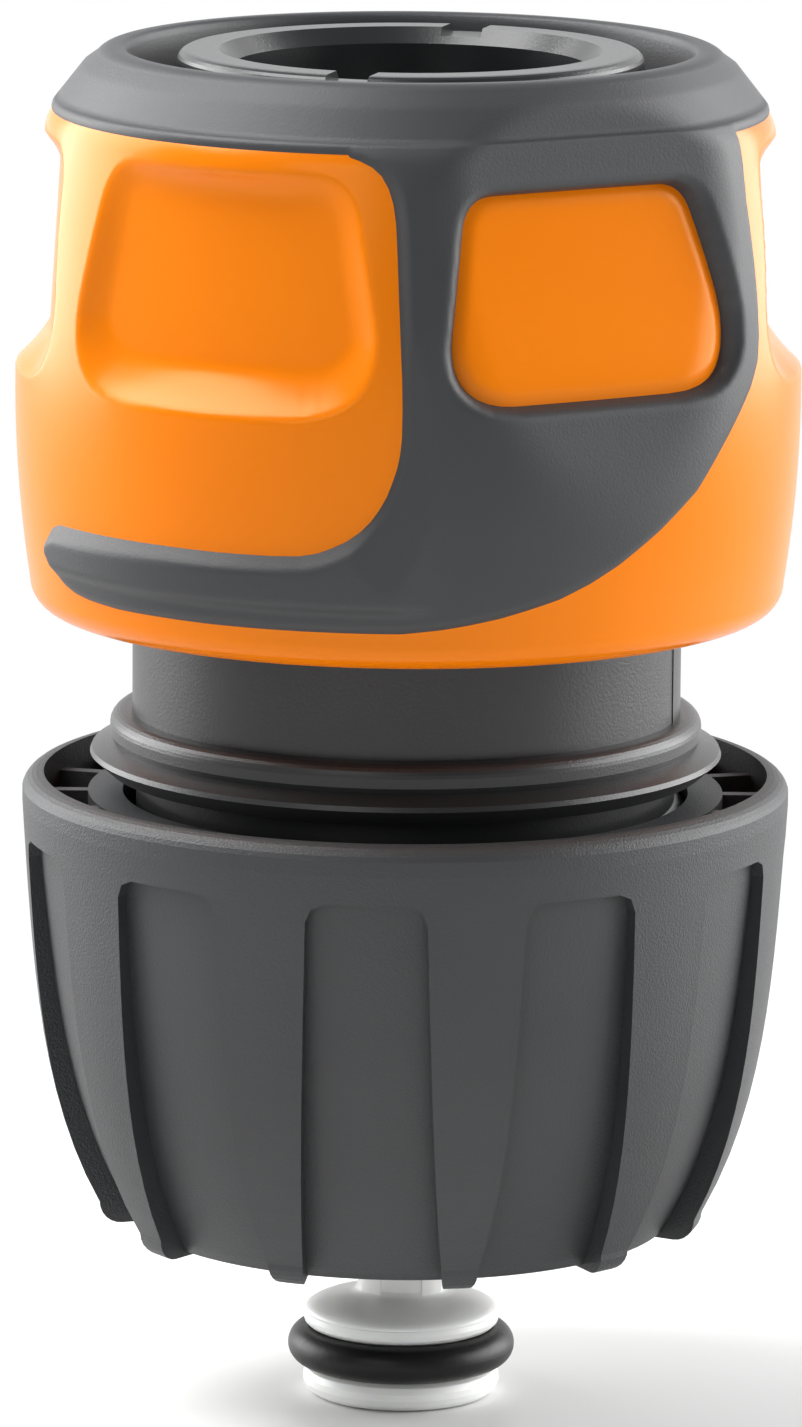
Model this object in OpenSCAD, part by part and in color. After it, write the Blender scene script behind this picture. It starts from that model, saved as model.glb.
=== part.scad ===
// Garden hose quick connector with a water stop, standing on its valve as on a table.
// Millimetres, +Z up, origin on the axis at the foot of the valve.

/* [Water stop valve] */
// Centre radius of the rubber ring on the valve head
valve_ring_r = 4.95; // [4.6:0.05:5.2]
// Thickness of the rubber ring
valve_ring_d = 2.0; // [1.6:0.1:2.4]
// Radius of the valve's two discs
valve_disc_r = 5.15; // [4.9:0.05:5.25]
// Height of the lower disc that the connector stands on
foot_h = 1.6; // [1.3:0.1:2.2]
// Radius of the flat foot under the lower disc
foot_r = 3.9; // [3.2:0.1:4.4]
// Height of the upper disc
disc_h = 1.05; // [0.8:0.05:1.6]
// How far the valve rises from open to closed
valve_travel = 5.6; // [4.6:0.1:6.2]
// Reach of the valve shaft's four arms from the axis
shaft_r = 2.35; // [2:0.05:3]
// Thickness of the shaft's arms and fins
fin_t = 1.4; // [1:0.1:1.8]

/* [Main body] */
// Radius of the water way through the hose stem
water_r = 5.4; // [5.3:0.05:5.6]
// Radius of the seat at the stem's tip
seat_r = 6.3; // [6.1:0.05:6.4]
// Outside radius of the hose stem
stem_r = 6.7; // [6.5:0.05:7]
// How far the stem's barbs stand out
barb_h = 0.25; // [0.15:0.05:0.3]
// Length of the hose stem below the web
stem_len = 25.2; // [22:0.2:28]
// Thickness of the web between stem and neck
web_h = 3.0; // [2.4:0.2:4]
// Outside radius of the threaded skirt
skirt_r = 14.0; // [13.6:0.1:14.2]
// Wall of the threaded skirt
skirt_t = 1.8; // [1.4:0.1:2.2]
// Length of the threaded skirt
skirt_len = 9.5; // [8:0.5:11]
// How far the thread stands out of the skirt
thread_h = 0.6; // [0.4:0.05:0.7]
// Radius of the sharp flange over the nut
flange_r = 16.4; // [15.8:0.1:16.8]
// Radius of the round bead over the flange
bead_r = 15.35; // [14.9:0.05:15.7]
// Height of the bead
bead_h = 1.4; // [1.2:0.1:2.2]
// Outside radius of the neck that the sleeve slides on
neck_r = 14.2; // [13.8:0.1:14.5]
// Length of the neck over the web
neck_len = 12.0; // [11:0.5:13]

/* [Socket barrel] */
// Radius of the wide bore for the nipple
socket_r = 9.05; // [8.8:0.05:9.3]
// Radius of the bore that the nipple's ring seals in
seal_bore_r = 8.0; // [7.8:0.05:8.2]
// Length of the bore that the nipple's ring seals in
seal_bore_len = 9.0; // [7.5:0.5:10]
// Outside radius of the barrel's mouth
mouth_r = 12.0; // [11.7:0.1:12.3]
// Outside radius of the barrel below the sleeve's stop
barrel_r = 11.4; // [11.1:0.1:11.5]
// Length of the mouth over the sleeve's stop
mouth_len = 10.8; // [10.5:0.1:12]
// Width of the two spanner notches in the mouth
notch_w = 2.2; // [1.5:0.1:3]
// Depth of the spanner notches
notch_h = 0.45; // [0.3:0.05:0.8]
// Direction of the notches, degrees from the front
notch_turn = 16; // [0:1:40]

/* [Locking claws] */
// Number of claws
claw_count = 4; // [3:1:4]
// Width of a claw
claw_w = 6.0; // [5:0.2:7]
// Height of a claw
claw_h = 2.8; // [2.2:0.2:3]
// Radius that the claws reach in to
claw_tip_r = 8.3; // [8.2:0.05:8.4]
// How far a claw moves out as the sleeve is pulled
claw_travel = 1.0; // [0.9:0.05:1.1]
// Thickness of a claw's head outside the barrel
claw_head_t = 0.7; // [0.5:0.05:0.9]

/* [Release sleeve] */
// Largest radius of the sleeve
belly_r = 20.27; // [20:0.05:20.8]
// Height of the belly over the sleeve's lower edge
belly_up = 11.5; // [10.5:0.5:12.5]
// Radius of the belly's curve below its widest part
belly_low_curve = 66; // [55:1:90]
// Radius of the belly's curve above its widest part
belly_top_curve = 60; // [50:1:80]
// Length of the sleeve under its inner ledge
guide_len = 16.0; // [15:0.5:16.5]
// Thickness of the inner ledge that the spring lifts
ledge_h = 2.0; // [1.6:0.1:2.4]
// Radius of the sleeve's opening at the top
opening_r = 14.5; // [14.4:0.05:14.8]
// Width of the flat rim round the opening
rim_w = 1.25; // [1:0.05:1.6]
// Height of the cone under the rim
cone_h = 3.6; // [3:0.1:4.2]
// How far the sleeve is pulled to free a nipple
sleeve_travel = 4.5; // [4:0.1:4.8]

/* [Finger dishes and grip] */
// Thickness of the soft grip
grip_t = 1.2; // [0.9:0.1:1.5]
// Distance of the dishes' faces from the axis at their foot
dish_floor_r = 18.65; // [18.3:0.05:19]
// Height of a dish's foot over the belly
dish_up = 2.0; // [1:0.1:3]
// Distance of the window's face from the axis at its foot
facet_low_r = 20.1; // [19.8:0.05:20.2]
// Direction of the first dish of each side, degrees from the front
dish_a_turn = -31; // [-33:1:-29]
// Direction of the window of each side
window_turn = 31; // [30:1:34]
// Direction of the second dish of each side
dish_b_turn = 91; // [90:1:93]
// Height of the window in the grip
window_h = 9.8; // [8.5:0.1:10.4]
// Depth of the window pad under the grip's face
window_sink = 0.8; // [0.4:0.1:1]
// Height of the grip's tail
tail_h = 3.9; // [3:0.1:4.5]

/* [Clamping nut] */
// Radius of the nut at its rim
nut_r = 20.0; // [19.6:0.05:20.3]
// Height of the nut
nut_h = 24.0; // [23:0.2:25]
// How much the nut narrows evenly towards its foot
nut_taper = 1.45; // [1:0.05:1.8]
// How much the nut tucks in at its foot
nut_tuck = 3.35; // [2.8:0.05:3.6]
// Number of flutes round the nut
flute_count = 11; // [9:1:13]
// Depth of the flutes
flute_depth = 1.1; // [0.7:0.1:1.3]
// Width of a flute at its top
flute_top_w = 6.2; // [5:0.1:7]
// Width of a flute at its foot
flute_low_w = 7.2; // [6:0.1:7.6]
// Number of ribs between the nut's shell and its thread tube
rib_count = 22; // [12:1:24]
// Thickness of those ribs
rib_t = 0.8; // [0.6:0.1:1.2]
// Radius of the hole for the hose in the nut's foot
hose_hole_r = 12.0; // [11.8:0.05:12.2]

/* [Clamp collet] */
// Number of fingers that grip the hose
finger_count = 8; // [6:1:10]
// Radius inside the fingers
finger_r = 11.6; // [11.5:0.05:11.8]
// Width of the slots between the fingers
slot_w = 1.2; // [0.8:0.1:1.6]

/* [Hidden] */
$fn = 96;

// Clearances
fit_gap = 0.1;
slide_gap = 0.1;
seat_gap = 0.05;
step = 0.01;

// Colours
dark_grey = [0.27, 0.28, 0.29];
grip_grey = [0.30, 0.31, 0.32];
orange_plastic = [1.0, 0.50, 0.06];
white_plastic = [0.90, 0.90, 0.88];
black_rubber = [0.06, 0.06, 0.06];
spring_steel = [0.70, 0.70, 0.72];

// Heights of the valve
ring_z = foot_h + valve_ring_d / 2;
head_top_z = foot_h + valve_ring_d + disc_h;
groove_r = valve_ring_r - valve_ring_d / 2 - seat_gap;

// The seat cone at the stem's tip touches the ring when the valve has risen
stem_tip_z = ring_z + valve_travel + valve_ring_r
    + sqrt(2) * (valve_ring_d / 2 + seat_gap) - seat_r;
web_z = stem_tip_z + stem_len;
neck_z = web_z + web_h;
neck_top_z = neck_z + neck_len;
flange_z = web_z + 0.8;
flange_t = 0.25;
bead_z = flange_z + flange_t + 0.55;
bead_top_z = bead_z + bead_h;
skirt_z = web_z - skirt_len;
skirt_bore_r = skirt_r - skirt_t;
barb_pitch = 3.2;
barb_rows = 3;

// Heights of the sleeve and the barrel
spring_len = 9.5;
spring_wire_d = 1.0;
spring_turns = 4;
ledge_z = neck_top_z + spring_len;
ledge_top_z = ledge_z + ledge_h;
stop_z = ledge_top_z + fit_gap;
mouth_z = stop_z + mouth_len;
sleeve_z = ledge_z - guide_len;
sleeve_top_z = mouth_z + 0.1;
cone_z = sleeve_top_z - cone_h;
rim_r = opening_r + rim_w;
belly_z = sleeve_z + belly_up;
guide_r = neck_r + slide_gap;
ledge_r = barrel_r + slide_gap;
lead_in_h = 0.85;
lead_in_w = 0.75;

// The claws lie level in the barrel's wall over the stop
claw_z = stop_z + 1.6;
claw_head_r = mouth_r + seat_gap + claw_head_t;
claw_head_w = claw_w + 1.8;
cam_slope = claw_travel / sleeve_travel;
cam_r = claw_head_r + fit_gap;
cam_top_z = claw_z + (opening_r - cam_r) / cam_slope;

// The seal bore ends in a funnel over the barrel's floor
seal_bore_z = stop_z - seal_bore_len - 0.6;
funnel_z = seal_bore_z - (seal_bore_r - water_r);
barrel_floor_z = funnel_z - 3.4;
barrel_z = barrel_floor_z - 4.5;
tube_top_z = barrel_floor_z - fit_gap;
tube_r = water_r + 2.0;
boss_bore_r = tube_r + seat_gap;
barrel_ring_d = 1.5;

// The valve's head rests on the funnel
head_fin_r = seal_bore_r - 0.8;
valve_top_z = seal_bore_z - 0.2;

// Nut and collet
nut_top_z = web_z - 0.3;
nut_z = nut_top_z - nut_h;
nut_rim_land = 1.1;
thread_tube_t = 1.8;
thread_bore_r = skirt_r + thread_h + fit_gap;
thread_tube_r = thread_bore_r + thread_tube_t;
thread_tube_top_z = nut_top_z - 1.0;
pocket_z = nut_z + 11;
collet_top_z = skirt_z - fit_gap;
collet_ring_h = 2.4;
collet_z = nut_z + 2.2;
seat_top_z = collet_top_z - collet_ring_h;
seat_top_r = thread_bore_r - 0.2;

// Grip outline, seen straight from the window's side
tail_z = sleeve_z + 2.0;
tail_top_z = tail_z + tail_h;
dish_z = belly_z + dish_up;
tail_end_turn = -61.5;
tail_start_turn = 3;
tail_end_r = tail_h / 2 - 0.12;
grip_proud = 0.2;
crown_z = cone_z + 0.2;
window_z = belly_z + 2.1;
dish_top_r = dish_floor_r - 0.75;
facet_top_r = facet_low_r - 3.15;
lip_r = 2.0;
flag_outline = [
    [-11.4, tail_z + 0.2], [-15.6, tail_top_z - 0.2], [-13.6, tail_top_z + 0.45],
    [-12.2, tail_top_z + 1.4], [-11.3, tail_top_z + 2.3], [-10.7, tail_top_z + 4.1],
    [-10.6, tail_top_z + 6], [-10.7, window_z + 4.6], [-10.75, crown_z - 2.4],
    [-11.1, crown_z - 1.5], [-11.7, crown_z - 0.7], [-13.0, crown_z + 0.3],
    [9.6, crown_z + 0.5], [9.9, crown_z - 3.8], [10.1, belly_z + 6.2], [10.0, belly_z + 3.4],
    [9.0, belly_z + 0.7], [7.3, belly_z - 1.2], [5.0, belly_z - 3.4], [2.8, belly_z - 4.8],
    [0.4, belly_z - 6.3], [-2.9, belly_z - 7.9], [-5.9, belly_z - 8.7], [-8.8, belly_z - 9.2]
];
window_outline = [
    [-8.1, window_z + 3.2], [-7.9, window_z + 1.4], [-7.1, window_z + 0.35], [-5.8, window_z],
    [5.3, window_z], [6.7, window_z + 0.35], [7.9, window_z + 1.9], [8.0, window_z + 4.1],
    [7.3, window_z + 6.7], [6.4, window_z + 8.8], [5.3, window_z + window_h],
    [-6.3, window_z + window_h], [-7.0, window_z + window_h - 0.4],
    [-7.5, window_z + window_h - 1.8]
];

// Seats inside the nut
seat_low_r = 12.5;
nut_rim_round = 1.0;
nut_foot_round = 1.2;
flute_deepens = 0.9;
flute_turn = -5.7;
flute_top_z = nut_top_z - 3.0;
flute_round = 1.0;
flute_outline = [
    [-flute_low_w / 2, nut_z - 1], [flute_low_w / 2, nut_z - 1],
    [flute_top_w / 2, flute_top_z - flute_round],
    [flute_top_w / 2 - 0.3, flute_top_z - 0.3],
    [flute_top_w / 2 - flute_round, flute_top_z],
    [-flute_top_w / 2 + flute_round, flute_top_z],
    [-flute_top_w / 2 + 0.3, flute_top_z - 0.3],
    [-flute_top_w / 2, flute_top_z - flute_round]
];
shell_top_r = nut_r - 1.2;
shell_mid_r = shell_top_r - 1.3;
shell_low_r = thread_tube_r + 0.35;

// Seats inside the body, the barrel and the sleeve
neck_bore_r = barrel_r + seat_gap;
snap_h = 0.35;
snap_len = 1.2;
snap_z = neck_top_z - 3.2;
mouth_round = 0.6;
barrel_seal_z = (barrel_z + barrel_floor_z) / 2;
barrel_seal_r = tube_r - barrel_ring_d / 2;
spring_r = barrel_r + 1.6;
spring_gap = 0.05;
fins_z = 16;
shaft_h = 11;
core_r = 1.2;
fin_r = water_r - fit_gap;
guide_land = 4.5;
room_r = 16.2;
belly_bands = 8;
rim_round = 0.35;
cone_lean = (belly(cone_z) - rim_r) / cone_h;
facet_z = belly_z - 3;
parting_turn = 75;

function arc(centre, radius, from, to, steps) =
    [for (i = [0 : steps])
        let (a = from + (to - from) * i / steps)
        centre + radius * [cos(a), sin(a)]];

// Outside radius of the sleeve's round form between its lower edge and its cone
function belly(z) =
    let (curve = z < belly_z ? belly_low_curve : belly_top_curve)
    belly_r - curve + sqrt(curve * curve - (z - belly_z) * (z - belly_z));

// Outside radius of the nut, from 0 at its top to 1 at its foot
function nut_side(t) = nut_r - nut_taper * t - nut_tuck * pow(t, 4);

module ring(inner, outer, z, h) {
    difference() {
        translate([0, 0, z]) cylinder(r = outer, h = h);
        translate([0, 0, z - 1]) cylinder(r = inner, h = h + 2);
    }
}

module rubber_ring(radius, thickness, z) {
    translate([0, 0, z])
        rotate_extrude()
            translate([radius, 0]) circle(d = thickness, $fn = 32);
}

// A solid of one outline along a line from the axis; 0 degrees looks out to the front
module radial_prism(turn, outline, reach = belly_r + 10) {
    rotate([0, 0, turn])
        rotate([90, 0, 0])
            linear_extrude(height = reach) polygon(outline);
}

// A solid of one profile, given as distance from the axis and height, across a width
module cross_prism(turn, profile, width) {
    rotate([0, 0, turn - 90])
        translate([0, width / 2, 0])
            rotate([90, 0, 0])
                linear_extrude(height = width) polygon(profile);
}

// The sleeve's outer form, with flat faces at the dishes and windows, made smaller by inset
module sleeve_form(inset) {
    low_r = 1.5;
    difference() {
        rotate_extrude()
            polygon(concat(
                [[0, sleeve_z + inset]],
                [for (a = [-90 : 15 : 0])
                    [belly(sleeve_z + low_r) - inset - low_r + low_r * cos(a),
                     sleeve_z + inset + low_r + low_r * sin(a)]],
                [for (i = [1 : belly_bands])
                    let (z = sleeve_z + 2 * low_r + (cone_z - sleeve_z - 2 * low_r) * i / belly_bands)
                    [belly(z) - inset, z]],
                [[rim_r - inset + (inset + rim_round) * cone_lean, sleeve_top_z - inset - rim_round],
                 [rim_r - inset * (1 - cone_lean) - rim_round, sleeve_top_z - inset],
                 [0, sleeve_top_z - inset]]
            ));
        for (side = [0, 180]) {
            dish_cut(dish_a_turn + side, inset);
            dish_cut(dish_b_turn + side, inset);
            window_face_cut(window_turn + side, inset);
        }
    }
}

// Cuts a finger dish: a flat leaning floor with a curved lip at its foot
module dish_cut(turn, inset) {
    lean = atan((dish_floor_r - dish_top_r) / (cone_z - dish_z));
    outside = belly_r + 5;
    top_z = cone_z - 1.8;
    cross_prism(turn, concat(
        arc([dish_floor_r - inset + lip_r * cos(lean), dish_z + lip_r * sin(lean)],
            lip_r, 180 + lean, 270, 6),
        [[outside, dish_z + lip_r * (sin(lean) - 1)],
         [outside, cone_z - 0.6],
         [belly_r, cone_z - 0.6],
         [dish_floor_r - inset - (top_z - dish_z) * tan(lean), top_z]]
    ), 2 * belly_r);
}

// Cuts the flat leaning face that holds a window, up through the cone
module window_face_cut(turn, inset) {
    outside = belly_r + 5;
    lean = (facet_low_r - facet_top_r) / (cone_z - facet_z);
    over_top = 2 * (sleeve_top_z - cone_z);
    cross_prism(turn, [
        [facet_low_r - inset + 3 * lean, facet_z - 3],
        [outside, facet_z - 3],
        [outside, cone_z + over_top],
        [facet_top_r - inset - over_top * lean, cone_z + over_top]
    ], 2 * belly_r);
}

// Where the soft grip covers the sleeve: a crown, two flags with a window, two tails
module grip_region() {
    ring(opening_r - 1, belly_r + 5, crown_z, sleeve_top_z - crown_z + 1);
    for (side = [0, 180]) {
        radial_prism(window_turn + side, flag_outline);
        rotate([0, 0, side + tail_end_turn - 90])
            rotate_extrude(angle = tail_start_turn - tail_end_turn)
                translate([belly_r - 5, tail_z]) square([10, tail_h]);
        radial_prism(tail_end_turn + side, [
            for (a = [7.5 : 15 : 352.5])
            [tail_end_r * cos(a), tail_z + tail_end_r + tail_end_r * sin(a)]
        ]);
    }
}

module window_region() {
    for (side = [0, 180])
        radial_prism(window_turn + side, window_outline);
}

// A profile turned round the axis from r and z pairs
module turned(profile) {
    rotate_extrude() polygon(profile);
}

module main_body() {
    color(dark_grey)
    difference() {
        union() {
            // Hose stem with barbs, web, flange and bead
            turned(concat(
                [[water_r, stem_tip_z + seat_r - water_r],
                 [seat_r, stem_tip_z],
                 [stem_r, stem_tip_z + 0.4]],
                [for (i = [0 : barb_rows - 1])
                    for (p = [[0, 0], [barb_h, 1.6], [barb_h, 2.0], [0, 2.3]])
                        [stem_r + p[0], stem_tip_z + 2.4 + i * barb_pitch + p[1]]],
                [[stem_r, web_z],
                 [flange_r - 0.9, web_z],
                 [flange_r, flange_z],
                 [flange_r - 0.1, flange_z + flange_t],
                 [bead_r - 0.15, bead_z - 0.1],
                 [bead_r, bead_z + 0.2]],
                arc([bead_r - 0.7, bead_top_z - 0.7], 0.7, 0, 90, 6),
                [[neck_r, bead_top_z],
                 [neck_r, neck_top_z - 0.4],
                 [neck_r - 0.4, neck_top_z],
                 [neck_bore_r, neck_top_z],
                 [neck_bore_r, barrel_z - 0.2],
                 [tube_r, barrel_z - 0.2],
                 [tube_r, tube_top_z],
                 [water_r, tube_top_z]]
            ));
            // Threaded skirt
            ring(skirt_bore_r, skirt_r, skirt_z, web_z - skirt_z + step);
        }
        // Groove of the barrel's seal
        rubber_groove(tube_r, barrel_ring_d, barrel_seal_z);
        // Groove that the barrel snaps into
        ring(neck_bore_r - step, neck_bore_r + snap_h + seat_gap, snap_z - seat_gap,
            snap_len + 2 * seat_gap);
    }
    // Step of the moulding on the neck
    color(dark_grey)
    rotate([0, 0, parting_turn - 90])
        rotate_extrude(angle = 180)
            translate([neck_r - step, bead_top_z - step]) square([0.06, 5]);
}

module rubber_groove(radius, thickness, z) {
    ring(radius - thickness + 0.15, radius + 1, z - thickness / 2 - 0.2, thickness + 0.4);
}

module socket_barrel() {
    color(dark_grey)
    difference() {
        union() {
            turned(concat(
                [[boss_bore_r, barrel_z],
                 [barrel_r, barrel_z],
                 [barrel_r, snap_z],
                 [barrel_r + snap_h, snap_z + 0.4],
                 [barrel_r + snap_h, snap_z + snap_len],
                 [barrel_r, snap_z + snap_len],
                 [barrel_r, stop_z],
                 [mouth_r, stop_z]],
                arc([mouth_r - mouth_round, mouth_z - mouth_round], mouth_round, 0, 90, 5),
                [[socket_r + 0.8, mouth_z],
                 [socket_r, mouth_z - 0.8],
                 [socket_r, stop_z],
                 [seal_bore_r, stop_z - (socket_r - seal_bore_r)],
                 [seal_bore_r, seal_bore_z],
                 [water_r, funnel_z],
                 [water_r, barrel_floor_z],
                 [boss_bore_r, barrel_floor_z]]
            ));
        }
        for (i = [0 : claw_count - 1])
            rotate([0, 0, claw_turn(i)])
                translate([socket_r - 2, -claw_w / 2 - fit_gap, claw_z - fit_gap])
                    cube([6, claw_w + 2 * fit_gap, claw_h + 2 * fit_gap]);
        rotate([0, 0, -notch_turn])
            translate([-notch_w / 2, -mouth_r - 1, mouth_z - notch_h])
                cube([notch_w, 2 * mouth_r + 2, notch_h + 1]);
    }
}

function claw_turn(i) = 45 + i * 360 / claw_count;

module barrel_seal() {
    color(black_rubber)
        rubber_ring(barrel_seal_r, barrel_ring_d, barrel_seal_z);
}

module locking_claw(i) {
    tongue_r = mouth_r + seat_gap + 0.2;
    color(white_plastic)
    rotate([0, 0, claw_turn(i)])
    union() {
        intersection() {
            turned([
                [claw_tip_r, claw_z],
                [tongue_r, claw_z],
                [tongue_r, claw_z + claw_h],
                [claw_tip_r + 1.2, claw_z + claw_h],
                [claw_tip_r, claw_z + claw_h - 1.2]
            ]);
            translate([0, -claw_w / 2, claw_z - 1]) cube([belly_r, claw_w, claw_h + 2]);
        }
        intersection() {
            turned([
                [mouth_r + seat_gap, claw_z],
                [claw_head_r, claw_z],
                [claw_head_r + cam_slope * claw_h, claw_z + claw_h],
                [mouth_r + seat_gap, claw_z + claw_h]
            ]);
            translate([0, -claw_head_w / 2, claw_z - 1])
                cube([belly_r, claw_head_w, claw_h + 2]);
        }
    }
}

// A round wire wound round the axis
module sleeve_spring() {
    sides = 8;
    steps = 24;
    count = spring_turns * steps;
    rise = spring_len - spring_wire_d - 2 * spring_gap;
    points = [
        for (i = [0 : count])
        for (k = [0 : sides - 1])
        let (turn = 360 * i / steps,
             across = spring_r + spring_wire_d / 2 * cos(360 * k / sides),
             up = spring_wire_d / 2 * sin(360 * k / sides))
        [across * cos(turn), across * sin(turn),
         neck_top_z + spring_gap + spring_wire_d / 2 + rise * i / count + up]
    ];
    faces = concat(
        [[for (k = [0 : sides - 1]) k]],
        [for (i = [0 : count - 1])
         for (k = [0 : sides - 1])
            let (a = i * sides + k, b = i * sides + (k + 1) % sides)
            [a, a + sides, b + sides, b]],
        [[for (k = [sides - 1 : -1 : 0]) count * sides + k]]
    );
    color(spring_steel)
        polyhedron(points = points, faces = faces);
}

module release_sleeve() {
    color(orange_plastic)
    difference() {
        sleeve_form(0);
        // Pocket of the grip, with the pads left standing in its windows
        difference() {
            grip_region();
            sleeve_form(grip_t);
            window_region();
        }
        difference() {
            window_region();
            sleeve_form(window_sink);
        }
        // Inside: guide bore, ledge, cam of the claws and opening
        turned([
            [0, sleeve_z - 1],
            [guide_r + lead_in_w, sleeve_z - 1],
            [guide_r + lead_in_w, sleeve_z],
            [guide_r, sleeve_z + lead_in_h],
            [guide_r, sleeve_z + guide_land],
            [room_r, sleeve_z + guide_land + 1.5],
            [room_r, ledge_z],
            [ledge_r, ledge_z],
            [ledge_r, ledge_top_z],
            [cam_r, ledge_top_z],
            [cam_r, claw_z],
            [opening_r, cam_top_z],
            [opening_r, sleeve_top_z + 1],
            [0, sleeve_top_z + 1]
        ]);
    }
}

module sleeve_grip() {
    color(grip_grey)
    difference() {
        intersection() {
            grip_region();
            sleeve_form(-grip_proud);
        }
        sleeve_form(grip_t);
        window_region();
        translate([0, 0, crown_z - 1]) cylinder(r = opening_r, h = 10);
    }
}

module valve_plunger() {
    color(white_plastic) {
        // Lower disc, groove and upper disc
        turned(concat(
            [[0, 0], [foot_r, 0]],
            arc([valve_disc_r - foot_h / 2, foot_h / 2], foot_h / 2, -60, 90, 6),
            [[groove_r, foot_h],
             [groove_r, foot_h + valve_ring_d]],
            arc([valve_disc_r - disc_h / 2, head_top_z - disc_h / 2], disc_h / 2, -90, 90, 6),
            [[0, head_top_z]]
        ));
        // Four arms, with fins that guide in the water way and a head on the funnel
        intersection() {
            turned([
                [0, foot_h],
                [shaft_r, foot_h],
                [shaft_r, fins_z],
                [fin_r, fins_z + fin_r - shaft_r],
                [fin_r, funnel_z],
                [head_fin_r, funnel_z + head_fin_r - fin_r],
                [head_fin_r, valve_top_z],
                [0, valve_top_z]
            ]);
            for (turn = [45, 135])
                rotate([0, 0, turn])
                    translate([-belly_r, -fin_t / 2, 0])
                        cube([2 * belly_r, fin_t, valve_top_z]);
        }
        // Round shaft over the discs, and the thin core of the arms
        translate([0, 0, foot_h]) cylinder(r = shaft_r - 0.05, h = shaft_h);
        translate([0, 0, foot_h]) cylinder(r = core_r, h = valve_top_z - foot_h);
    }
}

module valve_ring() {
    color(black_rubber)
        rubber_ring(valve_ring_r, valve_ring_d, ring_z);
}

module clamp_collet() {
    color(white_plastic)
    difference() {
        turned([
            [finger_r, collet_z],
            [collet_cone_r(collet_z), collet_z],
            [collet_cone_r(seat_top_z), seat_top_z],
            [collet_cone_r(seat_top_z), collet_top_z],
            [finger_r, collet_top_z]
        ]);
        for (i = [0 : finger_count - 1])
            rotate([0, 0, 360 * i / finger_count])
                translate([0, -slot_w / 2, collet_z - 1])
                    cube([belly_r, slot_w, seat_top_z - collet_z]);
    }
}

// Radius of the nut's seat cone and of the collet on it
function seat_cone_r(z) =
    seat_low_r + (seat_top_r - seat_low_r) * (z - collet_z) / (seat_top_z - collet_z);
function collet_cone_r(z) = seat_cone_r(z) - seat_gap;

module clamping_nut() {
    color(dark_grey)
    difference() {
        union() {
            difference() {
                nut_form(0, nut_rim_round);
                for (i = [0 : flute_count - 1])
                    radial_prism(flute_turn + 360 * i / flute_count, flute_outline);
            }
            nut_form(1, nut_rim_round);
        }
        // Hole of the hose, seat of the collet and bore of the thread
        turned([
            [0, nut_z - 1],
            [hose_hole_r, nut_z - 1],
            [hose_hole_r, collet_z - 0.4],
            [seat_low_r, collet_z - 0.4],
            [seat_low_r, collet_z],
            [seat_top_r, seat_top_z],
            [thread_bore_r, seat_top_z + 0.6],
            [thread_bore_r, nut_top_z + 1],
            [0, nut_top_z + 1]
        ]);
        // Pockets between the ribs
        difference() {
            turned([
                [thread_tube_r, pocket_z],
                [shell_low_r, pocket_z],
                [shell_mid_r, nut_top_z - nut_rim_land - 3],
                [shell_top_r, nut_top_z - nut_rim_land - 1],
                [shell_top_r, nut_top_z + 1],
                [thread_bore_r - 1, nut_top_z + 1],
                [thread_bore_r - 1, thread_tube_top_z],
                [thread_tube_r, thread_tube_top_z]
            ]);
            for (i = [0 : rib_count - 1])
                rotate([0, 0, 360 * i / rib_count])
                    translate([skirt_r, -rib_t / 2, pocket_z - 1])
                        cube([10, rib_t, nut_top_z - nut_rim_land - pocket_z + 1]);
        }
    }
}

// The nut's round form; at depth 1 it lies on the floors of the flutes
module nut_form(depth, rim_round) {
    low_t = 1 - nut_foot_round / nut_h;
    low_r = nut_floor(low_t, depth);
    turned(concat(
        [[0, nut_z], [low_r - nut_foot_round, nut_z]],
        arc([low_r - nut_foot_round, nut_z + nut_foot_round], nut_foot_round, -75, 0, 5),
        [for (i = [14 : -1 : 1])
            let (t = low_t * i / 15)
            [nut_floor(t, depth), nut_top_z - nut_h * t]],
        arc([nut_floor(rim_round / nut_h, depth) - rim_round, nut_top_z - rim_round],
            rim_round, 15, 90, 5),
        [[0, nut_top_z]]
    ));
}

function nut_floor(t, depth) =
    nut_side(t) - depth * (flute_depth + flute_deepens * t);

main_body();
socket_barrel();
barrel_seal();
locking_claw(0);  // locking_claw_1
locking_claw(1);  // locking_claw_2
locking_claw(2);  // locking_claw_3
locking_claw(3);  // locking_claw_4
sleeve_spring();
release_sleeve();
sleeve_grip();
valve_plunger();
valve_ring();
clamp_collet();
clamping_nut();
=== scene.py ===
import math

import bmesh
import bpy
import numpy as np
from mathutils import Matrix, Vector


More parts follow.
